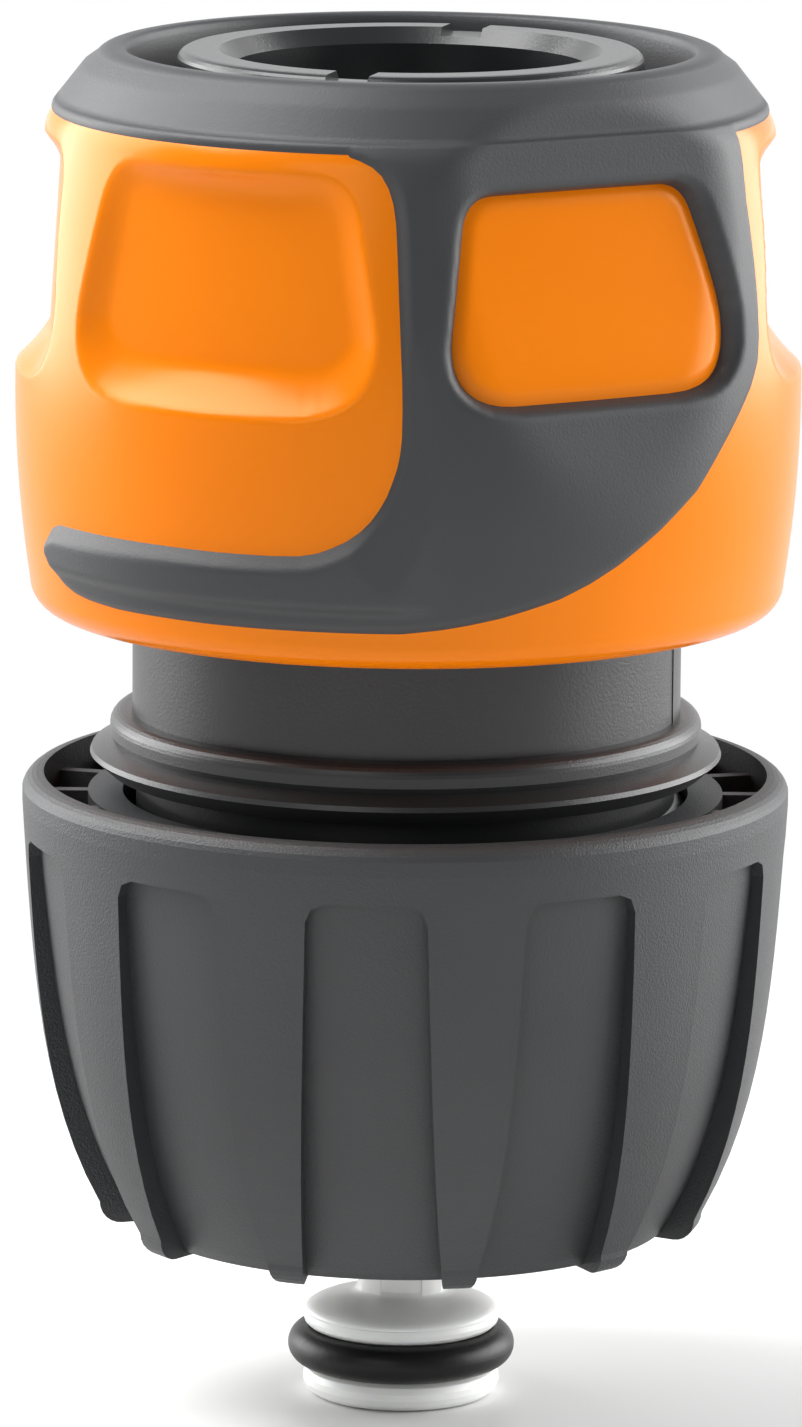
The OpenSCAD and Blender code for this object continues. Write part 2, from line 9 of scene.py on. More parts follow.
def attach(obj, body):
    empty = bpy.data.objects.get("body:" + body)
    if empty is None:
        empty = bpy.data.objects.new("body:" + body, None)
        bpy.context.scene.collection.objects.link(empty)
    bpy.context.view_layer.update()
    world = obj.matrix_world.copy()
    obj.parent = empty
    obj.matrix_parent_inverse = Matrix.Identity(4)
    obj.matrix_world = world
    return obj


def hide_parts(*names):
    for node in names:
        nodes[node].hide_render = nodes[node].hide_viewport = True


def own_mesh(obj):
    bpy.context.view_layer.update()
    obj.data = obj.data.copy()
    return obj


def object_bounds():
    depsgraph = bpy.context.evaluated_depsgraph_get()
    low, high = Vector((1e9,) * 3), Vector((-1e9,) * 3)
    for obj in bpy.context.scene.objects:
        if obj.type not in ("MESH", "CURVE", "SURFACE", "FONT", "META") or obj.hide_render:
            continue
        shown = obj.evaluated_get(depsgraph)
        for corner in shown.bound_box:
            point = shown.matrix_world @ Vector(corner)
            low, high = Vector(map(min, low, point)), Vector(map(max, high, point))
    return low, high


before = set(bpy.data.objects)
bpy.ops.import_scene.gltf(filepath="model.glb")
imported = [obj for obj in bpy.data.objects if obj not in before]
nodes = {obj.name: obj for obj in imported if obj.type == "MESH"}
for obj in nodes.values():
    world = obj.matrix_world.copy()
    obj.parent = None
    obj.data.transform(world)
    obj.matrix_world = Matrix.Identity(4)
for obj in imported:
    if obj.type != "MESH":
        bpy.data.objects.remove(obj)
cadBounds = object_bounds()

print("stage: frame loaded")

# Garden hose quick connector. Lengths are in mm, and in metres for the studio, lights and camera
mm = 0.001


def heightSpan(node):
    # the lowest and the highest point of a CAD node, in mm
    heights = [(nodes[node].matrix_world @ v.co).z / mm for v in nodes[node].data.vertices]
    return round(min(heights), 3), round(max(heights), 3)


def smoothStep(x, low, high):
    t = np.clip((x - low) / (high - low), 0, 1)
    return t * t * (3 - 2 * t)


def softMin(a, b, k):
    # the smaller of two surfaces with a round of about k between them
    h = np.clip(0.5 + 0.5 * (b - a) / k, 0, 1)
    return b * (1 - h) + a * h - k * h * (1 - h)


def signedDistance(px, py, outline):
    # distance to a closed outline, negative inside
    pts = np.array(outline, float)
    best = np.full(px.shape, 1e9)
    inside = np.zeros(px.shape, bool)
    for a, b in zip(pts, np.roll(pts, -1, axis=0)):
        ex, ey = b - a
        t = np.clip(((px - a[0]) * ex + (py - a[1]) * ey) / (ex * ex + ey * ey), 0, 1)
        best = np.minimum(best, (px - a[0] - t * ex) ** 2 + (py - a[1] - t * ey) ** 2)
        if ey != 0:
            crossX = a[0] + (py - a[1]) * ex / ey
            inside ^= ((py >= min(a[1], b[1])) & (py < max(a[1], b[1])) & (px < crossX))
    best = np.sqrt(best)
    return np.where(inside, -best, best)


def roundedOutline(points, radii, count):
    # a polygon with a curve at each corner, which takes less than half of the sides beside it
    mostOfSide = 0.48
    pts = [np.array(p, float) for p in points]
    out = []
    for i, (p, radius) in enumerate(zip(pts, radii)):
        u, v = pts[i - 1] - p, pts[(i + 1) % len(pts)] - p
        uLong, vLong = np.linalg.norm(u), np.linalg.norm(v)
        cut = min(radius, uLong * mostOfSide, vLong * mostOfSide)
        a, b = p + u / uLong * cut, p + v / vLong * cut
        for k in range(count + 1):
            t = k / count
            out.append((1 - t) ** 2 * a + 2 * t * (1 - t) * p + t * t * b)
    return out


def linkMesh(name, verts, faces, smooth=True):
    # a new object from points in mm
    mesh = bpy.data.meshes.new(name)
    mesh.from_pydata((np.array(verts) * mm).tolist(), [], faces)
    if smooth:
        mesh.shade_smooth()
    made = bpy.data.objects.new(name, mesh)
    bpy.context.scene.collection.objects.link(made)
    return made


def ringMesh(name, rings, closed=True):
    # a skin over rings of points; closed joins the last ring to the first
    columns = len(rings[0])
    faces = []
    for i in range(len(rings) if closed else len(rings) - 1):
        j = (i + 1) % len(rings)
        for k in range(columns):
            m = (k + 1) % columns
            faces.append((i * columns + k, i * columns + m, j * columns + m, j * columns + k))
    return linkMesh(name, np.array(rings).reshape(-1, 3), faces)


def toPoints(azimuth, z, r):
    # azimuth in degrees from the front to the right
    phi = np.radians(azimuth)
    return np.stack([r * np.sin(phi), -r * np.cos(phi), z], axis=-1)


def levelRing(r, z, columns):
    azimuth = np.linspace(-180, 180, columns, endpoint=False)
    return toPoints(azimuth, np.full(columns, z), np.full(columns, r))


def arcRings(centreR, centreZ, radius, start, end, count, columns):
    # rings along a round in the section, between two angles from the level, in radians
    rings = []
    for angle in np.linspace(start, end, count):
        r = centreR + radius * math.cos(angle)
        rings.append(levelRing(r, centreZ + radius * math.sin(angle), columns))
    return rings


# Materials

def newMaterial(name):
    material = bpy.data.materials.new(name)
    material.use_nodes = True
    tree = material.node_tree
    shader = tree.nodes["Principled BSDF"]
    return material, tree, shader


def addNoise(tree, scale, detail=3.0, rough=0.5):
    coords = tree.nodes.new("ShaderNodeTexCoord")
    noise = tree.nodes.new("ShaderNodeTexNoise")
    noise.inputs["Scale"].default_value = scale
    noise.inputs["Detail"].default_value = detail
    noise.inputs["Roughness"].default_value = rough
    tree.links.new(coords.outputs["Object"], noise.inputs["Vector"])
    return noise


def addRamp(tree, source, low, high, lowColour, highColour):
    ramp = tree.nodes.new("ShaderNodeValToRGB")
    ramp.color_ramp.elements[0].position = low
    ramp.color_ramp.elements[1].position = high
    ramp.color_ramp.elements[0].color = (*lowColour, 1)
    ramp.color_ramp.elements[1].color = (*highColour, 1)
    tree.links.new(source, ramp.inputs["Fac"])
    return ramp


def addRange(tree, source, low, high):
    span = tree.nodes.new("ShaderNodeMapRange")
    span.inputs["To Min"].default_value = low
    span.inputs["To Max"].default_value = high
    tree.links.new(source, span.inputs["Value"])
    return span


def addBump(tree, shader, source, strength, distance):
    bump = tree.nodes.new("ShaderNodeBump")
    bump.inputs["Strength"].default_value = strength
    bump.inputs["Distance"].default_value = distance
    tree.links.new(source, bump.inputs["Height"])
    tree.links.new(bump.outputs["Normal"], shader.inputs["Normal"])


def plastic(name, finish):
    # a moulded plastic: two close colours, roughness that varies, and a fine grain
    material, tree, shader = newMaterial(name)
    blotch = addNoise(tree, finish["blotchScale"], 2.0)
    ramp = addRamp(tree, blotch.outputs["Fac"], 0.3, 0.7, finish["dark"], finish["light"])
    tree.links.new(ramp.outputs["Color"], shader.inputs["Base Color"])
    grain = addNoise(tree, finish["grainScale"], 2.0, 0.6)
    rough = addRange(tree, grain.outputs["Fac"], finish["roughLow"], finish["roughHigh"])
    tree.links.new(rough.outputs["Result"], shader.inputs["Roughness"])
    addBump(tree, shader, grain.outputs["Fac"], finish["bump"], grainDepth)
    shader.inputs["IOR"].default_value = 1.49
    shader.inputs["Specular IOR Level"].default_value = finish.get("shine", 0.5)
    if "tint" in finish:
        shader.inputs["Specular Tint"].default_value = finish["tint"]
    if "glow" in finish:
        shader.inputs["Subsurface Weight"].default_value = finish["glow"]
        shader.inputs["Subsurface Radius"].default_value = (1.0, 0.35, 0.1)
        shader.inputs["Subsurface Scale"].default_value = 1.5 * mm
    return material


def drawnWire(name, finish):
    # bright drawn steel, with streaks in its colour and roughness
    material, tree, shader = newMaterial(name)
    streak = addNoise(tree, finish["streakScale"])
    ramp = addRamp(tree, streak.outputs["Fac"], 0.35, 0.65, finish["dark"], finish["light"])
    tree.links.new(ramp.outputs["Color"], shader.inputs["Base Color"])
    rough = addRange(tree, streak.outputs["Fac"], finish["roughLow"], finish["roughHigh"])
    tree.links.new(rough.outputs["Result"], shader.inputs["Roughness"])
    shader.inputs["Metallic"].default_value = 1.0
    return material


grainDepth = 0.2 * mm
finishes = {
    "orange": {"dark": (0.765, 0.176, 0.001), "light": (0.795, 0.192, 0.001), "blotchScale": 60,
               "grainScale": 900, "roughLow": 0.22, "roughHigh": 0.27, "shine": 0.30, "bump": 0.03,
               "tint": (1.0, 0.88, 0.50, 1)},
    "grip": {"dark": (0.027, 0.0282, 0.0305), "light": (0.033, 0.0342, 0.0365), "blotchScale": 90,
             "grainScale": 7000, "roughLow": 0.46, "roughHigh": 0.56, "bump": 0.10},
    "body": {"dark": (0.015, 0.0155, 0.0165), "light": (0.021, 0.0215, 0.0225), "blotchScale": 70,
             "grainScale": 7000, "roughLow": 0.31, "roughHigh": 0.40, "bump": 0.10},
    # the barrel is the body's grey made darker, which paints the shade deep inside the barrel; its gloss
    # is its own
    "barrel": {"dark": (0.009, 0.0095, 0.0105), "light": (0.013, 0.0135, 0.0145), "blotchScale": 80,
               "grainScale": 6000, "roughLow": 0.26, "roughHigh": 0.34, "bump": 0.06},
    "nut": {"dark": (0.025, 0.0262, 0.0285), "light": (0.032, 0.0333, 0.0355), "blotchScale": 70,
            "grainScale": 8000, "roughLow": 0.44, "roughHigh": 0.56, "bump": 0.25},
    "white": {"dark": (0.84, 0.84, 0.82), "light": (0.89, 0.89, 0.87), "blotchScale": 80,
              "grainScale": 1500, "roughLow": 0.30, "roughHigh": 0.38, "bump": 0.03, "glow": 0.08},
    "seal": {"dark": (0.004, 0.004, 0.004), "light": (0.007, 0.007, 0.007), "blotchScale": 120,
             "grainScale": 2400, "roughLow": 0.36, "roughHigh": 0.46, "shine": 0.3, "bump": 0.08},
}
wireFinish = {"dark": (0.52, 0.52, 0.53), "light": (0.64, 0.64, 0.66), "streakScale": 1200,
              "roughLow": 0.22, "roughHigh": 0.36}
looks = {name: plastic(name, finish) for name, finish in finishes.items()}
looks["wire"] = drawnWire("springWire", wireFinish)


def dress(obj, look):
    obj.data.materials.clear()
    obj.data.materials.append(looks[look])


print("stage: materials made")

# The sleeve and its grip are one family of surfaces: radius over azimuth (from the front, to the
# right) and height, in degrees and millimetres
sleeveFoot = heightSpan("release_sleeve")[0]
gripTop = heightSpan("sleeve_grip")[1]
sleeve = {
    "bellyZ": sleeveFoot + 11.5, "bellyR": 20.27,  # where the belly is widest
    "lowCurve": 66.0, "topCurve": 60.0,  # how the belly curves in below and above that
    "coneZ": sleeveFoot + 25.6, "coneSlope": 0.787, "coneBlend": 0.25,
    "footRound": 1.5, "footRings": 10,
    "columns": 620,
    "bands": ((48.6, 0.2), (54.4, 0.3), (68.2, 0.2), (70.1, 0.4)),  # where each ends, and its step
}
# the inside, as radius and height
sleeveInside = [
    (14.5, 70.1), (14.5, 67.95),  # opening
    (12.85, 61.75), (12.85, 60.04),  # cone that frees the claws
    (11.5, 60.03), (11.5, 58.04),  # ledge over the spring
    (16.2, 58.03), (16.2, 48.04),  # room for the spring
    (14.3, 46.54), (14.3, 42.89),  # guide on the neck
    (14.7, 42.45), (15.05, 42.15), (15.3, 42.04)]  # round at the foot
# finger dishes: floors that lean in, with a hollow curve up to a crisp edge
dishes = {
    "turns": (-30.5, 90.5, 149.5, 270.5), "foot": sleeveFoot + 13.5, "floorR": 18.55, "lean": 0.062,
    "hug": 0.72,  # 1 is a flat floor, 0 a floor as round as the sleeve
    "curve": 1.5, "footCurve": 1.3, "footZone": (55.8, 59.0), "blend": 0.14,
    "measureR": 19.6,
}
dishOutline = roundedOutline([(-7.4, 66.8), (7.5, 66.8), (9.6, 54.75), (-9.6, 54.75)],
                             [2.0, 2.4, 5.4, 5.0], 9)
# windows in the grip, each with a leaning face and an orange pad
windows = {
    "turns": (30.5, 210.5), "faceZ": 50.5, "faceR": 20.13, "lean": 0.184, "blend": 0.45,
    "padDepth": 0.75, "padRound": 0.22, "padZone": (-1.0, 0.1), "padCrown": 0.16, "padHalf": 9.0,
    "bedDepth": 1.2, "bedZone": (0.25, 0.7),  # zones are distances from the window's outline
    "measureR": 19.6,
}
windowOutline = roundedOutline([(-7.6, 65.85), (6.95, 65.85), (9.5, 55.2), (-8.9, 55.2)],
                               [1.8, 1.6, 5.0, 4.0], 9)
# the soft overmould; "proud" is how far it stands out, and "lip" is what its raised edge adds
overmould = {
    "halves": (0, 180), "crownFoot": 67.87, "measureR": 20.0, "foot": 43.2,
    "bands": ((48.6, 0.2), (55.0, 0.25), (68.4, 0.2), (70.5, 0.3)),
    "proud": 0.22, "edgeSlope": 0.85, "edgeBlend": 0.12,
    "lip": 0.42, "lipStart": (-6, 4), "lipEnd": (90, 100), "lipLow": (44.9, 45.6), "lipHigh": (65.5, 67.5),
    "lipReach": round(cadBounds[1][1] / mm, 2) - 0.01,
    "diveFrom": 0.35, "diveSlope": 3.0, "dive": 2.3,
    "underZone": (-1.0, -0.6),  # where the sleeve steps down under the grip, from its outline
    "windowRound": 0.18, "windowZone": 0.55, "wallFrom": 0.05, "wallSlope": 4.0,
}
# one half of the overmould below the crown, as azimuth and height
gripOutline = [
    # right side of the flag
    (63.0, 68.6), (62.2, 66.3), (61.4, 64.6), (61.4, 62.0), (61.4, 59.5), (61.2, 57.8), (60.4, 56.4),
    # its foot, which sweeps down into the lower edge of the tail
    (58.3, 55.2), (55.5, 54.1), (50.7, 52.3), (46.0, 50.5), (38.9, 48.7), (32.1, 47.2),
    (27.4, 46.35), (22.6, 45.65), (18, 45.2), (13.5, 44.80), (9, 44.5), (4.8, 44.27), (-1.0, 44.06),
    (-10, 44.05), (-20, 44.04), (-30, 44.03), (-40, 44.04), (-48, 44.04),
    # round end of the tail
    (-55.0, 44.15), (-59.0, 44.30), (-62.0, 44.55), (-64.6, 45.0), (-66.4, 45.7), (-66.9, 46.3),
    (-66.2, 46.9), (-64.6, 47.4), (-61.8, 47.70),
    # upper edge of the tail
    (-56, 47.74), (-50.8, 47.76), (-38.3, 47.80), (-28, 47.80), (-20.0, 47.84), (-15.5, 47.92),
    # inner corner, then the left side of the flag
    (-13.0, 48.10), (-11.1, 48.36), (-8.8, 48.75), (-6.8, 49.26), (-5.2, 49.85), (-4.0, 50.45),
    (-3.0, 51.1), (-2.3, 51.75), (-1.6, 52.5), (-1.2, 53.2), (-0.95, 54.0), (-0.9, 55.5),
    (-1.0, 57.0), (-1.4, 59.9), (-1.8, 62.9), (-2.1, 64.6),
    # small round into the crown
    (-2.5, 65.5), (-3.3, 66.3), (-4.4, 66.9), (-5.8, 67.3), (-7.8, 67.6), (-9.4, 67.75),
    (-10.5, 68.6)]
# the narrow rim round the opening; "inside" is radius and depth under the top, "wall" radius and height
rim = {
    "top": gripTop - 0.15, "round": 1.1, "roundR": 15.28, "rings": 8,
    "inside": ((14.95, 0), (14.75, 0.05), (14.62, 0.18), (14.55, 0.5)),
    "wall": ((14.45, 69.9), (14.43, 67.97)),
}


def bellyRadius(z):
    curve = np.where(z < sleeve["bellyZ"], sleeve["lowCurve"], sleeve["topCurve"])
    return sleeve["bellyR"] - curve + np.sqrt(np.maximum(curve ** 2 - (z - sleeve["bellyZ"]) ** 2, 1))


def roundRadius(z):
    # belly below, cone above, with a soft edge between them
    cone = bellyRadius(np.array(sleeve["coneZ"])) - (z - sleeve["coneZ"]) * sleeve["coneSlope"]
    return softMin(bellyRadius(z), cone, sleeve["coneBlend"])


def turnFrom(azimuth, centre):
    return (azimuth - centre + 180) % 360 - 180


def leanFace(r, azimuth, z, turn):
    # a flat face that leans in towards the top
    delta = np.radians(np.clip(turnFrom(azimuth, turn), -70, 70))
    face = (windows["faceR"] - (z - windows["faceZ"]) * windows["lean"]) / np.cos(delta)
    return softMin(r, face, windows["blend"])


def outerForm(azimuth, z):
    r = roundRadius(z)
    for turn in windows["turns"]:
        r = leanFace(r, azimuth, z, turn)
    return r


def dished(r, azimuth, z):
    for turn in dishes["turns"]:
        delta = turnFrom(azimuth, turn)
        across = np.radians(delta) * dishes["measureR"]
        bend = np.cos(np.radians(np.clip(delta, -60, 60)) * dishes["hug"])
        floor = (dishes["floorR"] - (z - dishes["foot"]) * dishes["lean"]) / bend
        distance = signedDistance(across, z, dishOutline)
        # the hollow curve is widest at the foot, and past the edge it climbs clear of the face
        width = dishes["curve"] + dishes["footCurve"] * (1 - smoothStep(z, *dishes["footZone"]))
        climb = np.clip(distance + width, 0, 3 * width) / width
        bowl = floor + np.maximum(r - floor, 0) * climb ** 2 + np.maximum(distance, 0) * 2
        r = softMin(r, bowl, dishes["blend"])
    return r


def gripDistance(azimuth, z):
    # negative where the grip covers the sleeve, all the way round at the crown
    best = overmould["crownFoot"] - z
    outline = [(math.radians(turn) * overmould["measureR"], height) for turn, height in gripOutline]
    for half in overmould["halves"]:
        across = np.radians(turnFrom(azimuth, half)) * overmould["measureR"]
        best = np.minimum(best, signedDistance(across, z, outline))
    return best


def acrossWindow(azimuth, turn):
    return np.radians(turnFrom(azimuth, turn)) * windows["measureR"]


def windowDistance(azimuth, z):
    # negative inside a window
    return np.minimum.reduce([signedDistance(acrossWindow(azimuth, turn), z, windowOutline)
                              for turn in windows["turns"]])


def shellGrid(start, bands):
    # azimuth and height of every point of a shell's outer face
    heights = []
    for end, step in bands:
        heights.append(np.arange(start, end, step))
        start = end
    azimuth = np.linspace(-180, 180, sleeve["columns"], endpoint=False)
    return np.meshgrid(azimuth, np.concatenate(heights))


def sleeveShell():
    # outer face from the round at the foot to the crown, then the inside back down
    roundR = sleeve["footRound"]
    roundZ = sleeveFoot + roundR
    azimuth, z = shellGrid(roundZ + 0.01, sleeve["bands"])
    r = dished(outerForm(azimuth, z), azimuth, z)
    cover = gripDistance(azimuth, z)
    window = windowDistance(azimuth, z)
    # under the grip the sleeve lies deeper; the pad in each window lies a little deep
    under = 1 - smoothStep(cover, *overmould["underZone"])
    bed = smoothStep(window, *windows["bedZone"])
    r = r - under * (windows["padDepth"] * (1 - bed) + windows["bedDepth"] * bed)
    # the pad is a little crowned, with a soft edge round it
    r = r - windows["padRound"] * smoothStep(window, *windows["padZone"]) * (1 - bed) * under
    for turn in windows["turns"]:
        crown = np.maximum(1 - (acrossWindow(azimuth, turn) / windows["padHalf"]) ** 2, 0)
        r = r + windows["padCrown"] * crown * (1 - bed) * under
    footR = bellyRadius(np.array(roundZ)) - roundR
    rings = arcRings(footR, roundZ, roundR, math.radians(-90), math.radians(-9), sleeve["footRings"],
                     sleeve["columns"])
    rings += list(toPoints(azimuth, z, r))
    rings += [levelRing(wallR, height, sleeve["columns"]) for wallR, height in sleeveInside]
    return ringMesh("sleeveShell", rings)


def gripShell():
    # outside the grip's outline this surface dives under the sleeve, so the edge is a round lip
    azimuth, z = shellGrid(overmould["foot"], overmould["bands"])
    cover = gripDistance(azimuth, z)
    window = windowDistance(azimuth, z)
    r = outerForm(azimuth, z)
    # a raised lip with a bevel on the upper and left edges of the tail and flag
    lip = np.zeros(azimuth.shape)
    for half in overmould["halves"]:
        left = -turnFrom(azimuth, half)
        lip += smoothStep(left, *overmould["lipStart"]) * (1 - smoothStep(left, *overmould["lipEnd"]))
    lip = np.clip(lip, 0, 1) * smoothStep(z, *overmould["lipLow"])
    lip = lip * (1 - smoothStep(z, *overmould["lipHigh"]))
    # an even slope crosses the sleeve's face at the outline, then falls away under it
    rise = softMin(-cover * overmould["edgeSlope"], overmould["proud"] + overmould["lip"] * lip,
                   overmould["edgeBlend"])
    fall = np.maximum(cover - overmould["diveFrom"], 0) * overmould["diveSlope"]
    r = r + np.maximum(rise - fall, -overmould["dive"])
    # the lip stays inside the CAD's front and back
    facing = np.maximum(np.abs(np.cos(np.radians(azimuth))), 0.5)
    r = np.minimum(r, overmould["lipReach"] / facing)
    # a round edge at the window, then the wall down to the pad
    r = r - overmould["windowRound"] * (1 - smoothStep(window, 0.0, overmould["windowZone"])) ** 2
    r = r - np.clip((overmould["wallFrom"] - window) * overmould["wallSlope"], 0, overmould["dive"])
    rings = list(toPoints(azimuth, z, r))
    # the cone turns over into a narrow rim, then the wall of the opening goes down
    rings += arcRings(rim["roundR"], rim["top"] - rim["round"], rim["round"],
                      math.atan(sleeve["coneSlope"]), math.pi / 2, rim["rings"], sleeve["columns"])
    rings += [levelRing(wallR, rim["top"] - depth, sleeve["columns"]) for wallR, depth in rim["inside"]]
    rings += [levelRing(wallR, height, sleeve["columns"]) for wallR, height in rim["wall"]]
    return ringMesh("gripShell", rings, closed=False)


shellMesh = sleeveShell()
dress(shellMesh, "orange")
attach(shellMesh, "sleeve")
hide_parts("release_sleeve")
gripMesh = gripShell()
dress(gripMesh, "grip")
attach(gripMesh, "sleeve")
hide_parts("sleeve_grip")
print("stage: sleeve and grip built")

# CAD nodes that are shown as they are; "edge" is the width of their rounded edges
cadPieces = {
    "main_body": {"look": "body", "edge": 0.12},
    # the barrel's darker grey paints the shade inside it
    "socket_barrel": {"look": "barrel", "edge": 0.12},
    "clamping_nut": {"look": "nut", "edge": 0.28},
    "valve_plunger": {"look": "white", "edge": 0.32, "segments": 5, "clamp": False},
    "clamp_collet": {"look": "white", "edge": 0.12},
    "locking_claw_1": {"look": "white", "edge": 0.10},
    "locking_claw_2": {"look": "white", "edge": 0.10},
    "locking_claw_3": {"look": "white", "edge": 0.10},
    "locking_claw_4": {"look": "white", "edge": 0.10},
    "valve_ring": {"look": "seal"},
    "barrel_seal": {"look": "seal"},
}


def roundEdges(obj, piece):
    bevel = obj.modifiers.new("edge", "BEVEL")
    bevel.width = piece["edge"] * mm
    bevel.segments = piece.get("segments", 3)
    bevel.limit_method = "ANGLE"
    bevel.angle_limit = math.radians(40)
    bevel.use_clamp_overlap = piece.get("clamp", True)


for node, piece in cadPieces.items():
    dress(nodes[node], piece["look"])
    if "edge" in piece:
        roundEdges(nodes[node], piece)
print("stage: CAD nodes dressed")

# The floors of the nut's flutes curve up to a shallow top, closer to the ribs' faces
nutFoot, nutTop = heightSpan("clamping_nut")
nut = {
    "r": 20.0, "taper": 1.45, "tuck": 3.35,  # the side: top radius, and how it narrows to the foot
    "flutes": 11, "turn": -5.7, "fluteTop": nutTop - 3.0, "topWide": 6.2, "lowWide": 7.2,
    "topDepth": 0.48, "lowDepth": 1.45, "footDepth": 2.05,
    "footGap": 0.25, "topOver": 0.30, "sideOver": 0.15,  # how the floors end in the CAD's flutes
    "rows": 34, "columns": 12,
}


def fluteFloors():
    rows, columns = nut["rows"], nut["columns"]
    start = nutFoot + nut["footGap"]
    climb = nut["fluteTop"] + nut["topOver"] - start
    verts, faces = [], []
    for flute in range(nut["flutes"]):
        turn = math.radians(nut["turn"] + 360 * flute / nut["flutes"])
        first = len(verts)
        for i in range(rows):
            z = start + climb * max(i - 1, 0) / (rows - 2)
            t = (nutTop - z) / (nutTop - nutFoot)
            depth = nut["topDepth"] + (nut["lowDepth"] - nut["topDepth"]) * t
            # the first row closes the foot
            depth = nut["footDepth"] if i == 0 else depth
            r = nut["r"] - nut["taper"] * t - nut["tuck"] * t ** 4 - depth
            half = (nut["topWide"] + (nut["lowWide"] - nut["topWide"]) * t) / 2 + nut["sideOver"]
            for k in range(columns):
                phi = turn + math.asin(half * (2 * k / (columns - 1) - 1) / r)
                verts.append((r * math.sin(phi), -r * math.cos(phi), z))
        for i in range(rows - 1):
            for k in range(columns - 1):
                a = first + i * columns + k
                faces.append((a, a + 1, a + columns + 1, a + columns))
    return linkMesh("fluteFloors", verts, faces)


floorsMesh = fluteFloors()
dress(floorsMesh, "nut")
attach(floorsMesh, "nut")

# The thread on the skirt, which the nut climbs
thread = {
    "low": 24.6, "high": 32.6, "pitch": 3.0, "rootR": 13.9, "crestR": 14.55, "rootHalf": 0.75,
    "crestHalf": 0.2, "runOut": 0.2,  # the share of a turn in which the ridge grows and sinks
    "steps": 64,
}


def threadRidge():
    turns = (thread["high"] - thread["low"]) / thread["pitch"]
    count = int(turns * thread["steps"])
    verts, faces = [], []
    for i in range(count + 1):
        share = i / count
        phi = 2 * math.pi * turns * share
        z = thread["low"] + (thread["high"] - thread["low"]) * share
        # the ridge grows out of the skirt and sinks back into it
        grown = min(1, share * turns / thread["runOut"], (1 - share) * turns / thread["runOut"])
        crest = thread["rootR"] + (thread["crestR"] - thread["rootR"]) * grown
        for r, up in [(thread["rootR"], -thread["rootHalf"]), (crest, -thread["crestHalf"]),
                      (crest, thread["crestHalf"]), (thread["rootR"], thread["rootHalf"])]:
            verts.append((r * math.sin(phi), -r * math.cos(phi), z + up))
    for i in range(count):
        for k in range(3):
            a = i * 4 + k
            faces.append((a, a + 4, a + 5, a + 1))
    return linkMesh("skirtThread", verts, faces, smooth=False)


threadMesh = threadRidge()
dress(threadMesh, "body")
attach(threadMesh, "body")

# The crown of the valve's upper disc, a low dome from the edge to the shaft, as radius and height
dome = {
    "columns": 96,
    "profile": [(4.70, 4.20), (5.02, 4.30), (5.06, 4.45), (4.98, 4.62), (4.74, 4.78), (4.35, 4.95),
                (3.85, 5.10), (3.30, 5.22), (2.80, 5.32), (2.50, 5.42), (2.34, 5.62), (2.28, 5.90)],
}


def valveDome():
    rings = [levelRing(r, height, dome["columns"]) for r, height in dome["profile"]]
    return ringMesh("valveDome", rings, closed=False)


domeMesh = valveDome()
dress(domeMesh, "white")
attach(domeMesh, "valve")

# The spring under the sleeve's ledge, which shortens as the sleeve comes down; this coil is built at one
# length and stands on the neck
spring = {
    "foot": heightSpan("main_body")[1], "length": 9.5, "r": 13.00, "wire": 1.0, "gap": 0.05,
    "turns": 4, "travel": 4.5, "steps": 48, "sides": 14,
}


def springCoil():
    count = spring["turns"] * spring["steps"]
    rise = spring["length"] - spring["wire"] - 2 * spring["gap"]
    around = 2 * math.pi * np.arange(spring["sides"]) / spring["sides"]
    rings = []
    for i in range(count + 1):
        turn = 2 * math.pi * i / spring["steps"]
        across = spring["r"] + spring["wire"] / 2 * np.cos(around)
        up = spring["foot"] + spring["gap"] + spring["wire"] / 2 * (1 + np.sin(around)) + rise * i / count
        rings.append(np.stack([across * math.cos(turn), across * math.sin(turn), up], axis=-1))
    made = ringMesh("springCoil", rings, closed=False)
    # flat ends close the wire
    ends = bmesh.new()
    ends.from_mesh(made.data)
    bmesh.ops.holes_fill(ends, edges=ends.edges, sides=0)
    bmesh.ops.recalc_face_normals(ends, faces=ends.faces)
    ends.to_mesh(made.data)
    ends.free()
    return made


springMesh = springCoil()
dress(springMesh, "wire")
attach(springMesh, "body")
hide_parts("sleeve_spring")
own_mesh(springMesh)
print("stage: flutes, thread, dome and spring built")

# Floor and backdrop, in metres
studio = {
    "floorSize": 3.0, "floorDark": (0.71, 0.71, 0.70), "floorLight": (0.75, 0.75, 0.74),
    "floorScale": 6, "floorRough": 0.45, "floorShine": 0.15,
    "fadeCentre": (0.02, -0.05, 0), "fadeFrom": 0.055, "fadeTo": 0.19,
    "air": (0.85, 0.87, 0.90, 1), "ambient": 0.26,
}


def blendSurfaces(tree, share, first, second, output):
    # shows the first where the share is 0 and the second where it is 1
    mix = tree.nodes.new("ShaderNodeMixShader")
    tree.links.new(share, mix.inputs[0])
    tree.links.new(first, mix.inputs[1])
    tree.links.new(second, mix.inputs[2])
    tree.links.new(mix.outputs[0], tree.nodes[output].inputs["Surface"])


